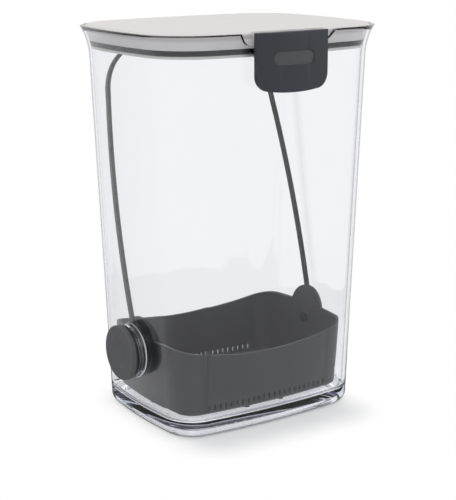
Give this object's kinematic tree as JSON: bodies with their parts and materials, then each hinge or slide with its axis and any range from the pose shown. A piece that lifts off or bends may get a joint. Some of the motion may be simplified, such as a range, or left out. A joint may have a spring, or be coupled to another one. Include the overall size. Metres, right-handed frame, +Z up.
{
  "type": "herb keeper",
  "caption": "Tall clear tapered canister with a flat press-in lid, front drop latch, lift-out drain basket on a swinging handle and a round side filler cap.",
  "frame": {"origin": "middle of the underside of the container's foot ring, on the surface it stands on", "axes": "+Z up; -Y is the front, with the latch; -X is the side with the filler cap"},
  "size_m": [0.1688, 0.1408, 0.2476],
  "materials": {
    "clear_shell": "clear, glossy",
    "lid": "fine satin, pale warm grey",
    "gasket": "soft, dark grey",
    "latch": "satin, slate grey",
    "pin": "plain",
    "basket": "satin, dark grey",
    "handle": "satin, dark grey",
    "cap": "matte, dark grey",
    "seal": "soft, pale grey"
  },
  "bodies": {
    "shell": {"container": "clear_shell"},
    "lid": {"lid_top": "lid", "lid_base": "lid", "lid_gasket": "gasket", "latch_pin": "pin"},
    "latch": {"latch": "latch"},
    "basket": {"basket": "basket"},
    "handle": {"basket_handle": "handle"},
    "cap_carrier": {"filler_seal": "seal"},
    "cap": {"filler_cap": "cap"}
  },
  "joints": [
    {"name": "lid_lift", "type": "slide", "parent": "shell", "child": "lid", "axis": [0, 0, 1], "range_m": [0, 0.3]},
    {"name": "latch_swing", "type": "hinge", "parent": "lid", "child": "latch", "pos_m": [0, -0.06698, 0.2434], "axis": [-1, 0, 0], "range_deg": [0, 95]},
    {"name": "basket_lift", "type": "slide", "parent": "shell", "child": "basket", "axis": [0, 0, 1], "range_m": [0, 0.25]},
    {"name": "handle_swing", "type": "hinge", "parent": "basket", "child": "handle", "pos_m": [0, 0, 0.046], "axis": [1, 0, 0], "range_deg": [0, 30.7]},
    {"name": "cap_spin", "type": "hinge", "parent": "cap_carrier", "child": "cap", "pos_m": [-0.0805, 0, 0.0471], "axis": [-1, 0, 0], "range_deg": [0, 1080]},
    {"name": "cap_draw", "type": "slide", "parent": "shell", "child": "cap_carrier", "axis": [-1, 0, 0], "range_m": [0, 0.0122]}
  ],
  "couplings": [
    {"joint": "basket_lift", "follows": "lid_lift", "ratio": 0.8},
    {"joint": "cap_draw", "follows": "cap_spin", "m_per_rad": 0.00063662}
  ]
}
